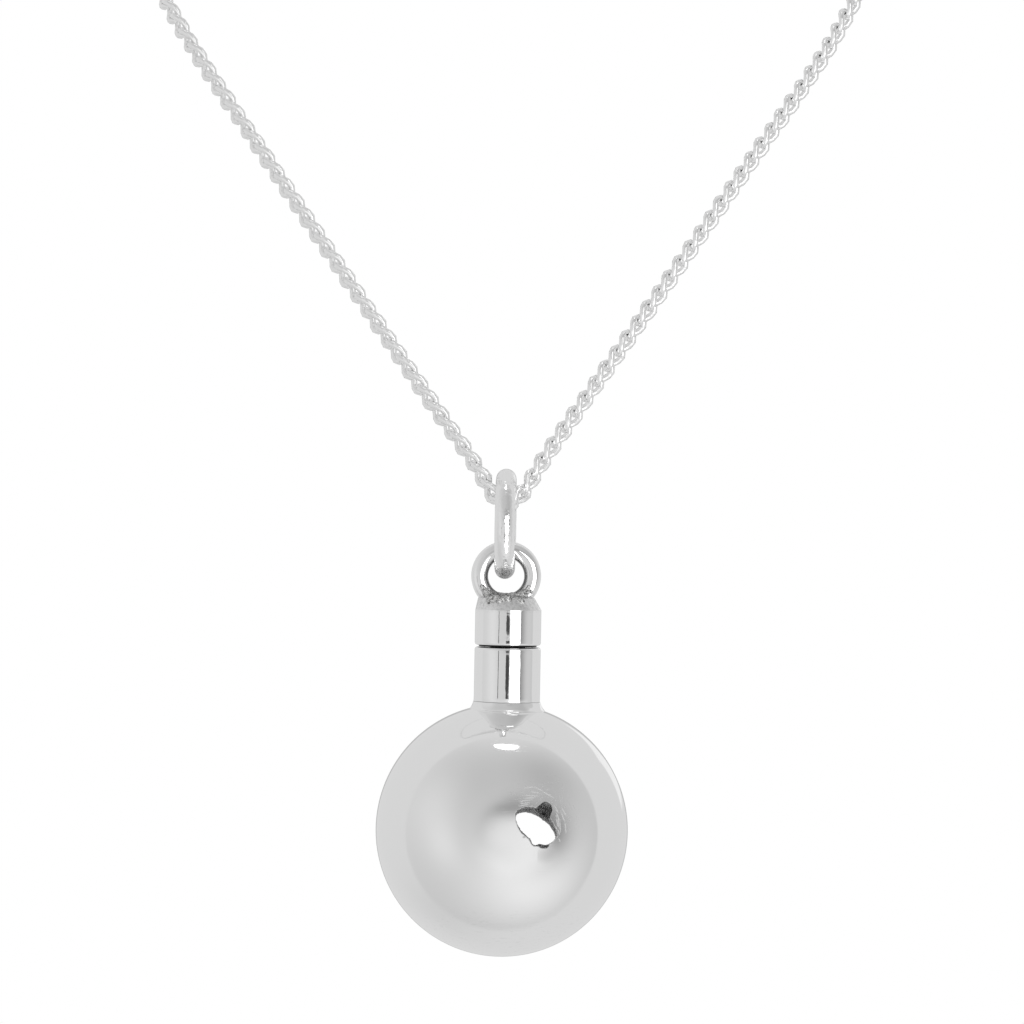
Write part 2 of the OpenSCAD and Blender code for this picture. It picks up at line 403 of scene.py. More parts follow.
def addTarnish(n, place, height, rough, shade):
    # the hole's wall is dark and crusted, and fine rubbed lines run round the front mouth
    wall = n.attribute("holeWall")
    around = n.attribute("holeRound", "Vector")
    crust = n.noise(place, *patterns["crust"])
    # the more crust there is at a place, the less of the noise stays bright
    much = n.attribute("holeCrust")
    bare = n.minus(0.545, n.times(much, 0.13))
    dark = n.times(n.ramp(wall, 0.2, 0.45), n.ramp(crust, bare, n.plus(bare, 0.07)))
    inside = n.ramp(wall, 0.45, 0.6)
    fleck = n.times(n.ramp(n.noise(place, *patterns["fleck"]), *limits["fleck"]), inside)
    fleck = n.times(fleck, n.minus(1.0, n.times(much, 0.8)))
    # between the pale flecks the bare wall is dull too
    dark = n.math("MAXIMUM", dark, n.times(inside, 0.4))
    dark = n.times(dark, n.minus(1.0, fleck))
    ringLines = n.noise(n.stretched(around, (1.2, 9.0, 1.0)), *patterns["hair"])
    near = n.ramp(n.part(around, "Y"), 0.3, 3.2, 1.0, 0.0)
    above = n.times(n.ramp(n.part(around, "Z"), 0.1, 0.7), n.ramp(wall, 0.0, 0.05, 1.0, 0.0))
    rubbed = n.times(n.times(n.ramp(ringLines, *limits["rubbed"]), near), above)
    height = n.plus(height, n.times(n.ramp(wall, 0.0, 0.5), n.times(crust, 0.3)))
    # flecks, rubbed lines and scratches are too rough to mirror, so they look pale
    pale = n.math("MAXIMUM", fleck, n.times(rubbed, 0.7))
    shade, pale = addMarks(n, place, shade, pale)
    # faint smut on the lower half
    low = n.ramp(n.part(place, "Z"), ballMiddle.z / mm - 9, ballMiddle.z / mm - 5, 1.0, 0.0)
    smut = n.ramp(n.noise(n.stretched(place, (1.4, 1.4, 4.5)), *patterns["smut"]), *limits["smut"])
    shade = n.times(shade, n.minus(1.0, n.times(n.times(smut, low), 0.05)))
    rough = n.plus(rough, n.plus(n.times(dark, 0.3), n.times(rubbed, 0.3)))
    shade = n.times(shade, n.minus(1.0, n.times(dark, 0.8)))
    return height, rough, shade, pale


silver = {kind: makeSilver(kind) for kind in finishes}
print("silver finishes made")


# The ball

def ovalPoint(size, grow, u):
    tilt = radians(ball["holeTurn"])
    a = (size[0] / 2 + grow) * cos(u - tilt)
    b = (size[1] / 2 + grow) * sin(u - tilt)
    return Vector((a * cos(tilt) - b * sin(tilt), a * sin(tilt) + b * cos(tilt)))


waistAt, mouthLean = Vector(ball["waistAt"]), Vector(ball["mouthLean"])
mouthSize = (ball["mouthLength"], ball["mouthWidth"])
waistSize = (ball["waistLength"], ball["waistWidth"])


def chipped(chips, u):
    # how far the rim is eaten away at the way round u
    grown = 0.0
    for middle, spread, growth, blunt in chips:
        gap = (degrees(u) - middle + 180) % 360 - 180
        grown += growth * exp(-abs(gap / spread) ** blunt)
    return grown


def waistPoint(u):
    return waistAt + ovalPoint(waistSize, chipped(ball["waistChips"], u), u)


def crusted(u, side):
    if side < 0:
        return ball["backCrust"]
    return min(1.0, ball["crustBase"] + chipped([(*place, 2) for place in ball["crust"]], u))


def domeDepth(spot, side):
    out = spot.length / (ball["across"] / 2)
    if side > 0:
        dent = ball["frontDent"]
        tilt = radians(ball["holeTurn"])
        x, z = spot - Vector(dent["at"])
        along = (x * cos(tilt) + z * sin(tilt)) / dent["stretch"]
        off = hypot(along, (z * cos(tilt) - x * sin(tilt)) * dent["stretch"]) / dent["reach"]
    else:
        dent = ball["backDent"]
        off = (spot - waistAt + mouthLean).length / dent["reach"]
    return ball["thick"] / 2 * sqrt(max(0.0, 1 - out ** 2)) - dent["depth"] * exp(-off ** 2)


def ballRows(side):
    # rows from the outline over one half of the ball into its mouth, down to the waist
    steps, lipSteps, wallSteps = ball["ballSteps"], ball["lipSteps"], ball["wallSteps"]
    rows = [("ball", cos(pi / 2 * i / steps)) for i in range(steps)]
    rows.append(("ball", ball["besideLip"]))
    rows += [("lip", pi / 2 * i / lipSteps) for i in range(lipSteps + 1)]
    rows += [("wall", i / wallSteps) for i in range(1, wallSteps)]
    ways = [turn * j / ball["roundSteps"] for j in range(ball["roundSteps"])]
    return [[ballPoint(kind, t, u, side) for u in ways] for kind, t in rows]


def ballPoint(kind, t, u, side):
    # returns the point from the ball's middle, its share of the hole's wall, its way round, and its crust
    lip = ball["lipRadius"]
    mouthAt = waistAt + side * mouthLean
    # the mouth's edge is worn a little unevenly
    waves = ball["lipWaves"]
    lump = noise.noise(Vector((cos(u) * waves, sin(u) * waves, 7.0 * side))) * ball["lipLumps"]
    if side > 0:
        lump += chipped(ball["mouthChips"], u)
    edge = mouthAt + ovalPoint(mouthSize, lump, u)
    edgeWide = mouthAt + ovalPoint(mouthSize, lump + lip, u)
    wall = 0.0
    if kind == "ball":
        spot = edgeWide * (1 - t) + Vector((cos(u), sin(u))) * ball["across"] / 2 * t
        depth = domeDepth(spot, side) if t < 1 else 0.0
    elif kind == "lip":
        spot = mouthAt + ovalPoint(mouthSize, lump + lip * (1 - sin(t)), u)
        depth = domeDepth(edgeWide, side) - lip * (1 - cos(t))
        wall = 0.5 + t / pi
    else:
        waist = waistPoint(u)
        spot = edge * (1 - t) + waist * t
        depth = (domeDepth(edgeWide, side) - lip) * (1 - t)
        waves, deepWaves = ball["wallWaves"]
        place = Vector((spot.x * waves, depth * deepWaves, spot.y * waves))
        rise = noise.fractal(place, *ball["wallNoise"])
        fade = sin(pi * min(1.0, t * 2) / 2) if t < 0.5 else 1.0
        spot = spot + (waist - waistAt).normalized() * rise * ball["wallLumps"] * fade * min(1.0, (1 - t) * 4)
        wall = 1.0
    away = spot - mouthAt
    reach = max(0.0, away.length - (edge - mouthAt).length)
    upRight = away.normalized().dot(Vector(ball["rubbedAt"])) if away.length > 0 else 0
    around = Vector((u / turn * ball["rubbedWaves"], reach, upRight if side > 0 else -1.0))
    return Vector((spot.x, -side * depth, spot.y)), wall, around, crusted(u, side)


def makeBall():
    frontRows, backRows = ballRows(1), ballRows(-1)
    waistRow = []
    for j in range(ball["roundSteps"]):
        spot = waistPoint(turn * j / ball["roundSteps"])
        waistRow.append((Vector((spot.x, 0.0, spot.y)), 1.0, Vector((0, 9, -1)), ball["backCrust"]))
    rows = frontRows + [waistRow] + backRows[:0:-1]
    spots, walls, arounds, crusts = zip(*[item for row in rows for item in row])
    mesh = gridMesh("bottleBall", len(rows), ball["roundSteps"], [ballMiddle + spot * mm for spot in spots])
    mark(mesh, "holeWall", walls)
    mark(mesh, "holeCrust", crusts)
    lines = mesh.attributes.new("holeRound", "FLOAT_VECTOR", "POINT")
    lines.data.foreach_set("vector", [v for around in arounds for v in around])
    piece = finishMesh("bottleBall", mesh, silver["bottle"])
    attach(piece, "bottle")
    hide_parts("bottle")
    return piece


ballPiece = makeBall()
print("ball made with", len(ballPiece.data.polygons), "faces")


# The neck, heights from the ball's middle

neck = {
    "across": 6.6,
    "aside": 0.28,  # the neck and the cap stand this far to the right of the ball's middle
    "top": 18.3,
    "bore": 3.6,
    "foot": 11.0,
    "edge": 0.28,  # rounding of the mouth's outer edge
    "innerEdge": 0.12,
    "collarTop": 12.85,
    "collarStep": 0.04,
    "collarStart": 0.65,  # slope at the collar's top, as a share of its whole slope
    "collarFoot": 12.0,
    "collarAcross": 7.6,
    "wander": 0.05,
    "grooveShade": 0.6,  # painted shade in the fine groove over the collar
    "lineHalf": 0.03,
    "crown": 0.004,  # the side swells this much halfway up
    "steps": 128,
}
neckAxis = ballMiddle + right * neck["aside"] * mm


def neckProfile():
    r, bore, top = neck["across"] / 2, neck["bore"] / 2, neck["top"]
    edge, inner = neck["edge"], neck["innerEdge"]
    points = [(bore, neck["foot"]), (bore, top - inner)]
    points += arc(bore + inner, top - inner, inner, 180, 90, 4)
    points += arc(r - edge, top - edge, edge, 90, 0, 8)
    sideTop, sideFoot = top - edge, neck["collarTop"]
    for k in range(1, 12):
        t = k / 12
        points.append((r + neck["crown"] * sin(pi * t), sideTop + (sideFoot - sideTop) * t))
    # a fine groove, painted dark as its shade, and the solder collar, which runs out on the ball
    step, wide, line = neck["collarStep"], neck["collarAcross"] / 2, neck["collarTop"]
    points += [(r, line + 0.04), (r - 0.01, line + 0.015), (r + step / 2, line - 0.015),
               (r + step, line - 0.04)]
    start = neck["collarStart"]
    for k in range(1, 13):
        t = k / 12
        run = start * t + (1 - start) * (1 - sqrt(1 - t * t))
        points.append((r + step + (wide - r - step) * run,
                       line - 0.04 + (neck["collarFoot"] + 0.04 - line) * t))
    points += [(wide - 0.02, neck["collarFoot"] - 0.1), (wide - 0.4, neck["foot"])]
    return points


def makeNeck():
    mesh = latheMesh("bottleNeck", neckProfile(), neck["steps"], neckAxis)
    heights = [(v.co.z - neckAxis.z) / mm for v in mesh.vertices]
    # painted shade in the fine groove over the collar
    mark(mesh, "seam", [neck["grooveShade"] if abs(h - neck["collarTop"]) < neck["lineHalf"] else 0.0
                        for h in heights])
    for v, high in zip(mesh.vertices, heights):
        # the solder collar wanders a little
        if neck["collarFoot"] - 0.3 < high < neck["collarTop"] + 0.1:
            out = (v.co - neckAxis) / mm
            push = noise.noise(Vector((out.x * 0.9, out.y * 0.9, high * 1.5))) * neck["wander"]
            flat = Vector((out.x, out.y, 0)).normalized()
            v.co += (flat * push + up * push) * mm
    piece = finishMesh("bottleNeck", mesh, silver["cap"])
    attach(piece, "bottle")
    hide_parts("bottle")


makeNeck()


# The cap, with its plug, and the loop soldered on it

cap = {
    "foot": 18.5,
    "side": 3.6,
    "shoulder": 1.15,
    "shoulderIn": 0.41,
    "across": 6.6,
    "plugAcross": 3.5,
    "plugLength": 4.6,
    "plugBevel": 0.4,
    "seatAcross": 5.8,
    "seat": 0.14,  # the flat seat reaches this far down into the gap
    "edge": 0.25,
    "crown": 0.004,
    "shoulderLean": -0.22,  # the shoulder's top lies to the left, under the loop
    "shoulderWorn": 0.75,
    # painted shade that darkens the sloping shoulder
    "shoulderShade": 0.16,
    "steps": 128,
    "loopAcross": 7.0,
    "loopWire": 1.7,
    "loopSink": 1.35,
    "loopFlat": 0.16,  # how much thinner the loop's wire is in front and behind, as a share
    "loopWear": 0.012,
    "loopSteps": 144,
    "loopSides": 40,
    # dirt and painted contact shade on the loop's inner rim
    "rimDirtAndShade": 0.65,
    "moundAcross": 5.3,
    "moundHigh": 0.28,
    "moundDeep": 2.1,
    "fillets": 27,  # lumps along the foot of the loop in front, and as many behind
    "filletFrom": -156,  # degrees round the loop
    "filletSweep": 132,
    "filletThin": 0.26,  # at both ends of the row, and how much thicker in its middle
    "filletSwell": 0.38,
    "filletDrop": 0.24,  # the row's middle lies this much further in
    "filletDeep": 0.46,  # in front of the loop's middle and behind it
    "filletThick": 0.36,
    "runs": 9,  # lumps that ran over the shoulder
    "runWays": (-125, -60),
    "runWide": (0.3, 0.7),
    "runHigh": (0.2, 0.4),
    "runThick": 0.24,
    "beads": 26,  # small ones on the fillets, clear of the loop's hole
    "beadWays": (-150, -30),
    "beadOut": (2.1, 3.0),
    "beadSize": (0.12, 0.24),
    "beadDeep": 0.78,
    "grain": 0.07,  # side of the cells that melt the solder together
    "crumbs": 0.05,  # height of the fine lumps
    "crumbWaves": 1.7,
    "seed": 5,
}
capTop = cap["foot"] + cap["side"] + cap["shoulder"]
loopHigh = capTop - cap["loopSink"] + cap["loopAcross"] / 2


def capProfile():
    r, plug, foot = cap["across"] / 2, cap["plugAcross"] / 2, cap["foot"]
    tip = foot - cap["plugLength"]
    sideTop = foot + cap["side"]
    seatR, seatFoot = cap["seatAcross"] / 2, foot - cap["seat"]
    points = [(0.02, tip), (plug - cap["plugBevel"], tip), (plug, tip + cap["plugBevel"]),
              (plug, seatFoot - 0.12), (plug, seatFoot), (seatR - 0.04, seatFoot), (seatR, seatFoot + 0.04),
              (seatR, foot)]
    points += arc(r - cap["edge"], foot + cap["edge"], cap["edge"], -90, 0, 8)
    for k in range(1, 10):
        t = k / 10
        points.append((r + cap["crown"] * sin(pi * t),
                       foot + cap["edge"] + (sideTop - 0.1 - foot - cap["edge"]) * t))
    points += arc(r - 0.2, sideTop - 0.12, 0.2, 0, 26, 4)
    points += arc(r - cap["shoulderIn"] - 0.25, capTop - 0.25, 0.25, 26, 90, 6)
    points += [(1.6, capTop + 0.02), (0.02, capTop + 0.05)]
    return points


def makeCap():
    mesh = latheMesh("capShell", capProfile(), cap["steps"], neckAxis)
    heights = [(v.co.z - neckAxis.z) / mm - cap["foot"] for v in mesh.vertices]
    sloped = [clamped((h - cap["side"] + 0.15) / 0.2) for h in heights]
    # painted shade: black in the gap under the cap, and a little darker on the worn shoulder
    mark(mesh, "seam", [1.0 if -cap["seat"] - 0.05 < h < 0.02 else cap["shoulderShade"] * part
                        for h, part in zip(heights, sloped)])
    mark(mesh, "worn", [cap["shoulderWorn"] * part for part in sloped])
    for v, h in zip(mesh.vertices, heights):
        v.co.x += cap["shoulderLean"] * mm * clamped((h - cap["side"]) / cap["shoulder"])
    shell = finishMesh("capShell", mesh, silver["cap"])
    ringAt = ballMiddle + up * loopHigh * mm

    def wireShape(a, b):
        soft = noise.noise(Vector((cos(a) * 2, sin(a) * 2, cos(b) * 0.7)))
        return (1 - cap["loopFlat"] * sin(b) ** 2) * (1 + cap["loopWear"] * (soft - 1))
    sides = cap["loopSides"]
    mesh = ringMesh("capLoop", ringAt, right, up, cap["loopAcross"], cap["loopWire"], cap["loopSteps"], sides,
                    wireShape)
    # dirt and painted contact shade on the inner rim, where the bail can't rub it off, and solder on the foot
    mark(mesh, "seam", [cap["rimDirtAndShade"] * clamped((-cos(turn * (k % sides) / sides) - 0.55) / 0.3)
                        for k in range(len(mesh.vertices))])
    mark(mesh, "worn", [clamped((ringAt.z - v.co.z) / mm - 1.3) for v in mesh.vertices])
    loop = finishMesh("capLoop", mesh, silver["cap"])
    return shell, loop


def makeSolder():
    # a low mound, fillets and beads of solder, melted together round the foot of the loop
    rng = random.Random(cap["seed"])
    work = bmesh.new()
    top = ballMiddle + up * capTop * mm
    ringRadius = (cap["loopAcross"] - cap["loopWire"]) / 2

    def blob(at, size):
        spot = Matrix.Translation(top + Vector(at) * mm) @ Matrix.Diagonal(Vector(size) * mm).to_4x4()
        bmesh.ops.create_icosphere(work, subdivisions=3, radius=1.0, matrix=spot)
    blob((neck["aside"] / 2, 0, -0.2), (cap["moundAcross"] / 2, cap["moundDeep"], cap["moundHigh"] + 0.2))
    foot = loopHigh - capTop
    for side in (-1, 1):
        for k in range(cap["fillets"]):
            t = k / (cap["fillets"] - 1)
            way = radians(cap["filletFrom"] + cap["filletSweep"] * t)
            middle = sin(pi * t)
            thick = cap["filletThin"] + cap["filletSwell"] * middle
            out = ringRadius - 0.1 - cap["filletDrop"] * middle ** 3 + rng.uniform(-0.03, 0.08)
            deep = side * (cap["filletDeep"] + 0.1 * middle)
            blob((out * cos(way), deep, foot + out * sin(way)), (thick * 1.15, cap["filletThick"], thick))
    for k in range(cap["runs"]):
        way = radians(rng.uniform(*cap["runWays"]))
        away = cap["across"] / 2 - cap["shoulderIn"] - 0.05
        blob((away * cos(way), away * sin(way), rng.uniform(-0.35, 0.0)),
             (rng.uniform(*cap["runWide"]), cap["runThick"], rng.uniform(*cap["runHigh"])))
    for k in range(cap["beads"]):
        way = radians(rng.uniform(*cap["beadWays"]))
        out = rng.uniform(*cap["beadOut"])
        size = rng.uniform(*cap["beadSize"])
        blob((out * cos(way), (-1 if k % 2 else 1) * cap["beadDeep"], foot + out * sin(way)),
             (size * rng.uniform(0.9, 1.6), size, size * rng.uniform(0.8, 1.2)))
    lumps = addObject("solderLumps", meshFrom("solderLumps", work))
    melt = lumps.modifiers.new("melt", "REMESH")
    melt.mode = "VOXEL"
    melt.voxel_size = cap["grain"] * mm
    even = lumps.modifiers.new("even", "SMOOTH")
    even.factor = 0.5
    even.iterations = 3
    mesh = bakedMesh(lumps)
    for v in mesh.vertices:
        crumb = noise.fractal(v.co / mm * cap["crumbWaves"], 1.0, 2.1, 2)
        v.co += v.normal * crumb * cap["crumbs"] * mm
    mark(mesh, "worn", [1.0] * len(mesh.vertices))
    return finishMesh("capSolder", mesh, silver["solder"])


capPieces = [*makeCap(), makeSolder()]
for piece in capPieces:
    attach(piece, "cap")
    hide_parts("cap")
print("neck and cap made")


# The bail, a plain wire ring seen edge on

bail = {
    "across": 11.04,
    "wire": 2.04,
    "bigSteps": 176,
    "wireSteps": 44,
    "wear": 0.012,
    "turned": 0.9,  # degrees, its front half lies a little to the left
    "rubbed": 4.2,  # below this depth under its middle it is rubbed and dirty
    "rubbedSoft": 0.4,
    "dirt": 0.16,
}


def makeBail():
    low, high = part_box("bail")
    middle = (low + high) / 2

    def wireShape(a, b):
        soft = noise.noise(Vector((cos(a) * 2.2, sin(a) * 2.2, cos(b) * 0.8 + 3)))
        return 1 + bail["wear"] * (soft - 1)
    turned = radians(bail["turned"])
    across = Vector((sin(turned), cos(turned), 0))
    mesh = ringMesh("bailRing", middle, across, up, bail["across"], bail["wire"], bail["bigSteps"],
                    bail["wireSteps"], wireShape)
    rubbed = [clamped(((middle.z - v.co.z) / mm - bail["rubbed"]) / bail["rubbedSoft"]) for v in mesh.vertices]
    mark(mesh, "worn", rubbed)
    mark(mesh, "seam", [w * bail["dirt"] for w in rubbed])
    piece = finishMesh("bailRing", mesh, silver["bail"])
    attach(piece, "bail")
    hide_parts("bail")


makeBail()


# The chain: one twisted oval link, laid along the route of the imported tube

chain = {
    "pitch": 1.92,
    "curveSteps": 12,  # points from one route point to the next
    "inputs": {
        "Half Length": ("Float", 1.28 * mm),
        "Half Width": ("Float", 0.9 * mm),
        "Wire": ("Float", 0.64 * mm),
        "Twist": ("Float", radians(-50)),  # each end of a link is turned this far from its middle
        "Link Steps": ("Int", 14),
        "Wire Sides": ("Int", 6),
        "Wearer": ("Vector", [0.0, -60.0 * mm, 0.0]),  # the links lie flat against a neck round this point
        # on the two front strands, and none where the chain lies on the neck
        "Left Roll": ("Float", radians(-66)),
        "Right Roll": ("Float", radians(-64)),
        "Loose": ("Float", radians(3.0)),  # uneven roll
        # the front strands hang free in front of this y, and lie flat behind the next
        "Free From": ("Float", -92.0 * mm),
        "Flat From": ("Float", -72.0 * mm),
        "Seed": ("Int", 3),
        "Finish": ("Material", silver["chain"]),
    },
}
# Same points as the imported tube, but for its ends, which start in the jump rings, and its lowest
# points, which leave the links room under the bail
route = [
    (5.67, 0, 0), (14, -1.5, 0), (30, -8, -0.5), (44, -18, -2), (53, -31, -5),
    (57, -46, -10), (57, -62, -18), (52.8, -76, -28), (46.3, -88, -40), (39, -97, -52),
    (32.5, -103, -64.5), (24, -107.5, -77.5), (15.7, -111, -90), (7.6, -114, -102),
    (3.6, -115.4, -108), (1.6, -115.97, -111.45), (0.9, -115.94, -112.4), (0, -115.94, -112.7),
    (-0.9, -115.94, -112.4), (-1.6, -115.97, -111.45), (-3.8, -115.4, -108), (-8.2, -114, -102),
    (-16.7, -111, -90), (-25.4, -107.5, -77.5), (-34.3, -103, -64.5), (-41.4, -97, -52),
    (-48.4, -88, -40), (-54.3, -76, -28), (-58, -62, -18), (-57.5, -46, -10), (-53, -31, -5),
    (-44, -18, -2), (-30, -8, -0.5), (-14, -1.5, 0), (-3.65, 0, 0),
]


def smoothRoute():
    points = [Vector(p) for p in route]
    last = len(points) - 1
    found = []
    for i in range(last):
        a, b = points[max(i - 1, 0)], points[i]
        c, d = points[i + 1], points[min(i + 2, last)]
        for k in range(chain["curveSteps"]):
            t = k / chain["curveSteps"]
            found.append(0.5 * (2 * b + (c - a) * t + (2 * a - 5 * b + 4 * c - d) * t ** 2
                                + (3 * b - a - 3 * c + d) * t ** 3))
    return found + [points[-1]]


def makeChainTree(inputs):
    # returns the tree and the identifier of each of its inputs
    tree = bpy.data.node_groups.new("curbLinks", "GeometryNodeTree")
    sockets = {}
    tree.interface.new_socket(name="Geometry", in_out="INPUT", socket_type="NodeSocketGeometry")
    for label, (kind, _) in inputs.items():
        sockets[label] = tree.interface.new_socket(name=label, in_out="INPUT", socket_type="NodeSocket" + kind)
    tree.interface.new_socket(name="Geometry", in_out="OUTPUT", socket_type="NodeSocketGeometry")
    n = Nodes(tree)
    given = n.add("NodeGroupInput").outputs

    # the link: a closed curve turned both ways out of its plane, with a round wire swept along it
    circle = n.add("GeometryNodeCurvePrimitiveCircle", {"Resolution": given["Link Steps"], "Radius": 1.0})
    step = n.math("DIVIDE", n.add("GeometryNodeInputIndex"), given["Link Steps"])
    way = n.times(step, turn)
    along, across = n.math("COSINE", way), n.math("SINE", way)
    lean = n.times(given["Twist"], along)
    wide = n.times(given["Half Width"], across)
    spot = n.add("ShaderNodeCombineXYZ", {"X": n.times(given["Half Length"], along),
                                          "Y": n.times(wide, n.math("COSINE", lean)),
                                          "Z": n.times(wide, n.math("SINE", lean))})
    bent = n.add("GeometryNodeSetPosition", {"Geometry": circle, "Position": spot})
    wire = n.add("GeometryNodeCurvePrimitiveCircle", {"Resolution": given["Wire Sides"],
                                                      "Radius": n.times(given["Wire"], 0.5)})
    link = n.add("GeometryNodeCurveToMesh", {"Curve": bent, "Profile Curve": wire})
    smooth = n.add("GeometryNodeSetShadeSmooth", {"Geometry": link})

    # the joints: as many even steps along the route as there are links, one link for each step
    whole = n.add("GeometryNodeMeshToCurve", {"Mesh": given["Geometry"]})
    joints = n.add("GeometryNodeResampleCurve", {"Curve": whole, "Count": n.plus(given["Links"], 1.0)})
    steps = n.add("GeometryNodeCurveToMesh", {"Curve": joints})
    ends = n.add("GeometryNodeInputMeshEdgeVertices").outputs
    run = n.vector("NORMALIZE", n.vector("SUBTRACT", ends["Position 2"], ends["Position 1"]))
    kept = n.add("GeometryNodeCaptureAttribute", domain="EDGE")
    kept.capture_items.new("VECTOR", "Run")
    n.feed(steps, kept.inputs["Geometry"])
    n.feed(run, kept.inputs["Run"])
    middles = n.add("GeometryNodeMeshToPoints", {"Mesh": kept}, mode="EDGES")

    # each link lies along its step: flat against the wearer, but turned to the front and rolled where it
    # hangs free
    here = n.add("GeometryNodeInputPosition")
    parts = n.add("ShaderNodeSeparateXYZ", {"Vector": here}).outputs
    free = n.ramp(parts["Y"], given["Free From"], given["Flat From"], 1.0, 0.0)
    away = n.vector("MULTIPLY", n.vector("SUBTRACT", here, given["Wearer"]), (1.0, 1.0, 0.0))
    away = n.vector("NORMALIZE", away)
    away = n.add("ShaderNodeMix", {0: free, 4: away, 5: (0.0, -1.0, 0.0)}, data_type="VECTOR").outputs[1]
    aim = n.add("FunctionNodeAlignRotationToVector", {"Vector": kept.outputs["Run"]}, axis="X")
    flat = n.add("FunctionNodeAlignRotationToVector", {"Rotation": aim, "Vector": away}, axis="Z",
                 pivot_axis="X")
    roll = n.blend(n.ramp(parts["X"], -0.005, 0.005), given["Left Roll"], given["Right Roll"])
    roll = n.times(roll, free)
    uneven = n.add("FunctionNodeRandomValue", {2: n.times(given["Loose"], -1.0), 3: given["Loose"],
                                               "Seed": given["Seed"]}, data_type="FLOAT")
    rolled = n.add("FunctionNodeAxisAngleToRotation", {"Axis": (1.0, 0.0, 0.0),
                                                       "Angle": n.plus(roll, uneven.outputs[1])})
    turned = n.add("FunctionNodeRotateRotation", {"Rotation": flat, "Rotate By": rolled},
                   rotation_space="LOCAL")
    placed = n.add("GeometryNodeInstanceOnPoints", {"Points": middles, "Instance": smooth, "Rotation": turned})
    real = n.add("GeometryNodeRealizeInstances", {"Geometry": placed})
    shown = n.add("GeometryNodeSetMaterial", {"Geometry": real, "Material": given["Finish"]})
    n.add("NodeGroupOutput", {"Geometry": shown})
    return tree, {label: socket.identifier for label, socket in sockets.items()}


def makeChain():
    points = smoothRoute()
    length = sum((b - a).length for a, b in zip(points, points[1:]))
    links = round(length / chain["pitch"])
    print("chain route", round(length, 1), "mm,", links, "links, pitch", round(length / links, 4), "mm")
    joined = [(i, i + 1) for i in range(len(points) - 1)]
    guide = addObject("chainRoute", newMesh("chainRoute", [p * mm for p in points], edges=joined))
    inputs = chain["inputs"] | {"Links": ("Int", links)}
    tree, sockets = makeChainTree(inputs)
    maker = guide.modifiers.new("links", "NODES")
    maker.node_group = tree
    for label, (_, value) in inputs.items():
        maker[sockets[label]] = value
    piece = finishMesh("chainLinks", outward(bakedMesh(guide)), silver["chain"])
    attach(piece, "necklace")
    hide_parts("chain")
    return piece


chainPiece = makeChain()
print("chain made with", len(chainPiece.data.polygons), "faces")


# The clasp: a ring, the tag ring soldered to it, and a jump ring at each end of the chain

clasp = {
    # middle, two directions of its plane, width, wire, and steps round the ring and round its wire
    "claspRing": ((0, 0, 0), right, up, 5.994, 1.0, 96, 24),
    "claspTag": ((3.4955, 0, 0), right, back, 2.597, 0.8, 48, 20),
    "jumpLeft": ((-2.81, 0, 0), right, back, 2.597, 0.45, 48, 12),
    "jumpRight": ((4.82, 0, 0), right, up, 2.597, 0.45, 48, 12),
}

for name, (at, *shape) in clasp.items():
    mesh = ringMesh(name, Vector(at) * mm, *shape)
    piece = finishMesh(name, mesh, silver["clasp"])
    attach(piece, "necklace")
    if name.startswith("clasp"):
        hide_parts("clasp")
print("clasp made")


# The camera, level with the bail, close enough for a little perspective

view = {
    "lens": 135,
    "sensor": 36,
    "at": (0.474, -500.0, -113.4),
    "roll": 1.0,  # degrees, because the pendant leans in the picture
}

lens = bpy.data.cameras.new("camera")
lens.lens = view["lens"]
lens.sensor_width = view["sensor"]
camera = addObject("camera", lens)
camera.matrix_world = (Matrix.Translation(Vector(view["at"]) * mm) @ Matrix.Rotation(radians(90), 4, "X")
                       @ Matrix.Rotation(radians(view["roll"]), 4, "Z"))
bpy.context.scene.camera = camera


# The studio round the pendant: white behind, softer and uneven in front

studio = {
    "backLevel": 0.71,
    "frontLevel": 0.67,
    "toRight": -0.2,
    "toTop": 0.29,
    "frontEdge": 97,  # degrees from the camera's side where the front gives way to the back
    "edgeSoft": 0.03,
    # azimuth to the right, height, reach, all in degrees, and what it adds
    "glows": [
        (44, -47, 56, 0.5), (-51, -10, 22, 0.13), (-65, 24, 35, 0.32), (58, 50, 32, -0.24),
        (-0.4, 8.6, 11.6, -0.214), (14, 16.8, 14.9, -0.263), (38, 0, 23, -0.6), (22, -4, 21, 0.33),
        (-63, 37, 56, -0.62),
    ],
    # the lamp overhead is a half oval, straight at the back: its middle, half its width, its straight edge
    # and its reach to the front, all as parts of a direction
    "lamp": {"middle": 0.039, "halfWidth": 0.145, "edge": -0.039, "reach": 0.096, "level": 3.0},
    # a soft window behind to the right, in degrees, and the dusky strip straight behind
    "window": {"azimuth": 157.3, "height": 10.25, "wide": 18, "high": 17, "level": 0.9},
    "dusk": {"from": 0.962, "soft": 0.006, "level": 0.52},
    "backGlows": [(-112, -54, 24, -0.06)],
    "floor": {"height": -300, "across": 1800, "back": -60, "steps": 96, "tone": 0.92, "rough": 0.9,
              "glow": 0.3},
}

# Cards that only the ball mirrors, placed round the neck: degrees to the right of the front, distance
# from the neck's axis, height of the middle, width and height in mm
# Elsewhere on the ball they don't show, as their tone is the studio's own: tone, and its change to each mm
cards = {
    "upper": {"azimuth": 0, "away": 38, "height": -125.62, "wide": 7.6, "high": 2.85, "glow": 0.528,
              "up": 0.009, "right": -0.009},
    "lower": {"azimuth": 0, "away": 38, "height": -130.8, "wide": 7.6, "high": 5.45, "glow": 0.465,
              "up": 0.016, "right": -0.016},
    "narrow": {"azimuth": -31, "away": 60, "height": -129.5, "wide": 1.9, "high": 15, "glow": 0.623,
               "up": -0.003, "right": -0.004},
}
cardOutline = {"steps": 24, "roundness": 0.45, "uneven": 0.08}
capAndBail = ("bottleNeck", "capShell", "capLoop", "capSolder", "bailRing")
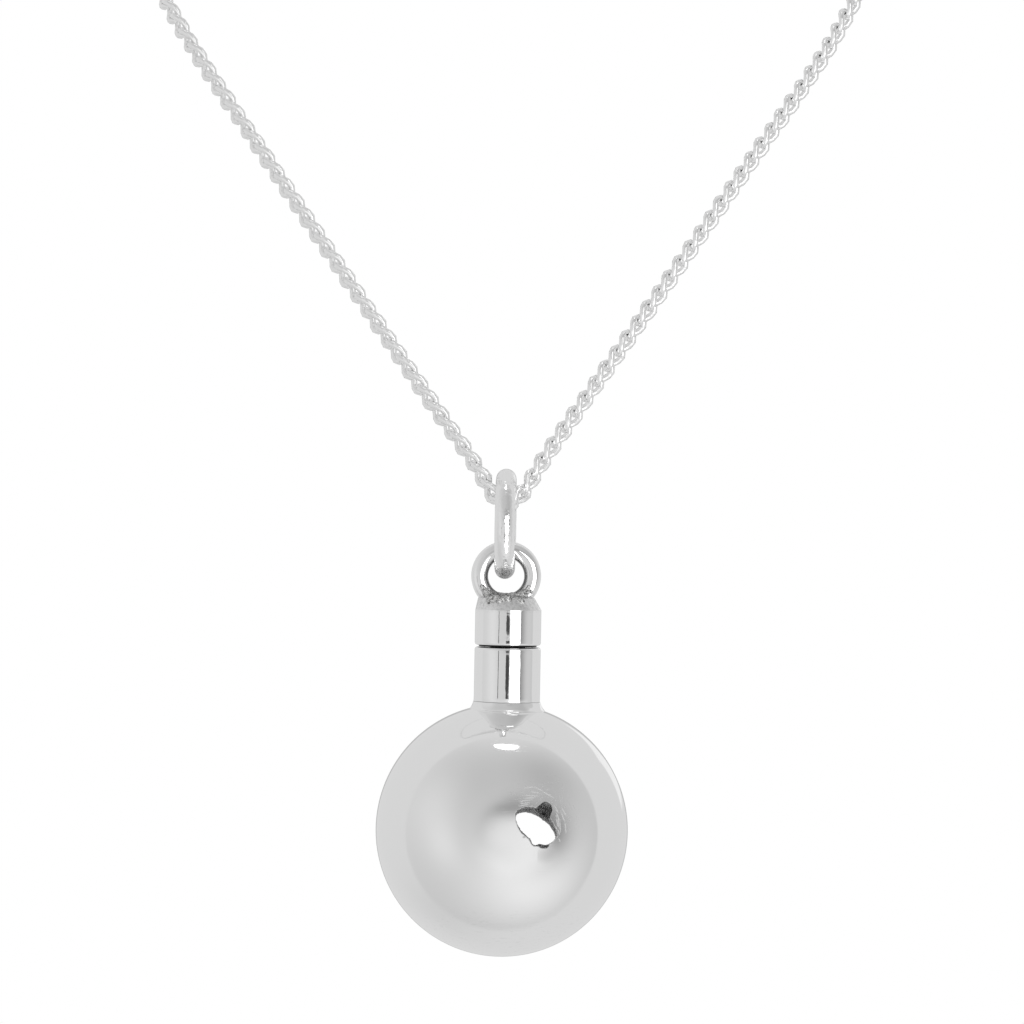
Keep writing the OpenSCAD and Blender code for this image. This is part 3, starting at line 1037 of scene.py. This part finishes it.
# Place of the middle, width, height and power in watts, and what each lamp lights
lamps = {
    "stripeLamp": {"at": (36.0, -187.4, -166.5), "wide": 49, "high": 147, "power": 0.05,
                   "lights": capAndBail + ("claspRing", "claspTag")},
    "upperGrey": {"at": (0.28, -153.6, -125.62), "wide": 7.6, "high": 2.9, "power": 5e-6,
                  "lights": capAndBail},
    "lowerGrey": {"at": (0.28, -153.6, -130.98), "wide": 7.6, "high": 5.1, "power": 8e-6,
                  "lights": capAndBail},
    "chainLamp": {"at": (50.0, -300.0, -60.0), "wide": 400, "high": 400, "power": 0.09,
                  "lights": ("chainLinks",)},
    "slitLamp": {"at": (60.0, -190.0, -90.0), "wide": 30, "high": 220, "power": 0.02,
                 "lights": ("chainLinks",)},
}


def aimed(azimuth, height):
    a, e = radians(azimuth), radians(height)
    return Vector((sin(a) * cos(e), -cos(a) * cos(e), sin(e)))


def withGlows(n, way, level, glows):
    for azimuth, height, reach, amount in glows:
        gap = n.math("ARCCOSINE", n.dot(way, aimed(azimuth, height)))
        gap = n.math("DIVIDE", gap, radians(reach))
        glow = n.math("EXPONENT", n.times(n.times(gap, gap), -1.0))
        level = n.plus(level, n.times(glow, amount))
    return level


def makeWorld():
    world = bpy.data.worlds.new("studio")
    bpy.context.scene.world = world
    n = emptyNodes(world)
    way = n.add("ShaderNodeTexCoord").outputs["Generated"]
    x, y, z = n.add("ShaderNodeSeparateXYZ", {"Vector": way}).outputs
    limit = cos(radians(studio["frontEdge"]))
    soft = n.ramp(z, -0.9, -0.2, studio["edgeSoft"] * 3, studio["edgeSoft"])
    inFront = n.ramp(n.times(y, -1.0), n.minus(limit, soft), n.plus(limit, soft))
    level = n.plus(n.times(x, studio["toRight"]), studio["frontLevel"])
    level = n.plus(level, n.times(z, studio["toTop"]))
    level = withGlows(n, way, level, studio["glows"])
    level = n.blend(inFront, withGlows(n, way, studio["backLevel"], studio["backGlows"]), level)
    dusk = studio["dusk"]
    level = n.blend(n.ramp(y, dusk["from"] - dusk["soft"], dusk["from"] + dusk["soft"]), level, dusk["level"])
    window = studio["window"]
    heart = aimed(window["azimuth"], window["height"])
    side = heart.cross(up).normalized()
    lit = n.ramp(n.dot(way, heart), 0.0, 0.1)
    for axis, size in ((side, window["wide"]), (side.cross(heart), window["high"])):
        edge = sin(radians(size / 2))
        away = n.math("ABSOLUTE", n.dot(way, axis))
        lit = n.times(lit, n.ramp(away, edge * 0.85, edge * 1.15, 1.0, 0.0))
    level = n.blend(lit, level, window["level"])
    lamp = studio["lamp"]
    wide = n.math("DIVIDE", n.minus(x, lamp["middle"]), lamp["halfWidth"])
    high = n.math("DIVIDE", n.minus(lamp["edge"], y), lamp["reach"])
    oval = n.plus(n.times(wide, wide), n.times(high, high))
    lit = n.times(n.ramp(oval, 0.9, 1.1, 1.0, 0.0), n.ramp(high, -0.02, 0.05))
    lit = n.times(lit, n.ramp(z, 0.0, 0.1))
    level = n.blend(lit, level, lamp["level"])
    seen = n.add("ShaderNodeLightPath").outputs["Is Camera Ray"]
    light = n.add("ShaderNodeBackground", {"Color": n.blend(seen, level, 1.0)})
    n.add("ShaderNodeOutputWorld", {"Surface": light})


def seenBy(thing, *names):
    # only these pieces are lit by the thing; on the rest it counts as a black card or as nothing
    group = bpy.data.collections.new(thing.name + "Sees")
    for name in names:
        group.objects.link(bpy.data.objects[name])
    thing.light_linking.receiver_collection = group
    thing.visible_camera = False


def makeCard(name, card, *seers):
    facing = aimed(card["azimuth"], 0)
    aside = up.cross(facing)
    middle = Vector((neckAxis.x, neckAxis.y, card["height"] * mm)) + facing * card["away"] * mm
    steps, power = cardOutline["steps"], cardOutline["roundness"]
    wide, high = card["wide"] / 2 * mm, card["high"] / 2 * mm
    points = []
    for k in range(steps):
        # rounded ends, uneven sides
        a = turn * k / steps
        x, z = cos(a), sin(a)
        soft = 1 + cardOutline["uneven"] * noise.noise(Vector((z * 2.2, x, 4.0)))
        x, z = copysign(abs(x) ** power, x) * soft, copysign(abs(z) ** power, z)
        points.append(middle + aside * x * wide + up * z * high)
    mesh = newMesh(name, points, faces=[tuple(range(steps))])
    paint = bpy.data.materials.new(name + "Paint")
    n = emptyNodes(paint)
    place = n.add("ShaderNodeTexCoord").outputs["Object"]
    off = n.vector("SUBTRACT", place, middle)
    level = n.plus(card["glow"], n.dot(off, aside * card["right"] / mm))
    level = n.plus(level, n.dot(off, (0, 0, card["up"] / mm)))
    n.add("ShaderNodeOutputMaterial", {"Surface": n.add("ShaderNodeEmission", {"Strength": level})})
    piece = finishMesh(name, mesh, paint, smooth=False)
    seenBy(piece, *seers)


def makeLamp(name, lamp):
    data = bpy.data.lights.new(name, "AREA")
    data.shape = "RECTANGLE"
    data.size, data.size_y = lamp["wide"] * mm, lamp["high"] * mm
    data.energy = lamp["power"]
    piece = addObject(name, data)
    at = Vector(lamp["at"]) * mm
    facing = Vector((neckAxis.x, neckAxis.y, at.z)) - at
    piece.matrix_world = Matrix.Translation(at) @ facing.to_track_quat("-Z", "Y").to_matrix().to_4x4()
    seenBy(piece, *lamp["lights"])


def makeFloor():
    look = studio["floor"]
    work = bmesh.new()
    bmesh.ops.create_circle(work, cap_ends=True, segments=look["steps"], radius=look["across"] / 2 * mm,
                            matrix=Matrix.Translation((0, look["back"] * mm, look["height"] * mm)))
    pale = bpy.data.materials.new("paleFloor")
    n = emptyNodes(pale)
    shader = n.add("ShaderNodeBsdfPrincipled", {
        "Base Color": (look["tone"], look["tone"], look["tone"], 1), "Roughness": look["rough"],
        "Emission Color": (1, 1, 1, 1), "Emission Strength": look["glow"]})
    n.add("ShaderNodeOutputMaterial", {"Surface": shader})
    floor = finishMesh("floor", meshFrom("floor", work), pale, smooth=False)
    floor.visible_glossy = False


makeWorld()
for name, card in cards.items():
    makeCard(name + "Card", card, "bottleBall")
for name, lamp in lamps.items():
    makeLamp(name, lamp)
makeFloor()
bpy.context.scene.view_settings.view_transform = "Standard"
print("studio made")
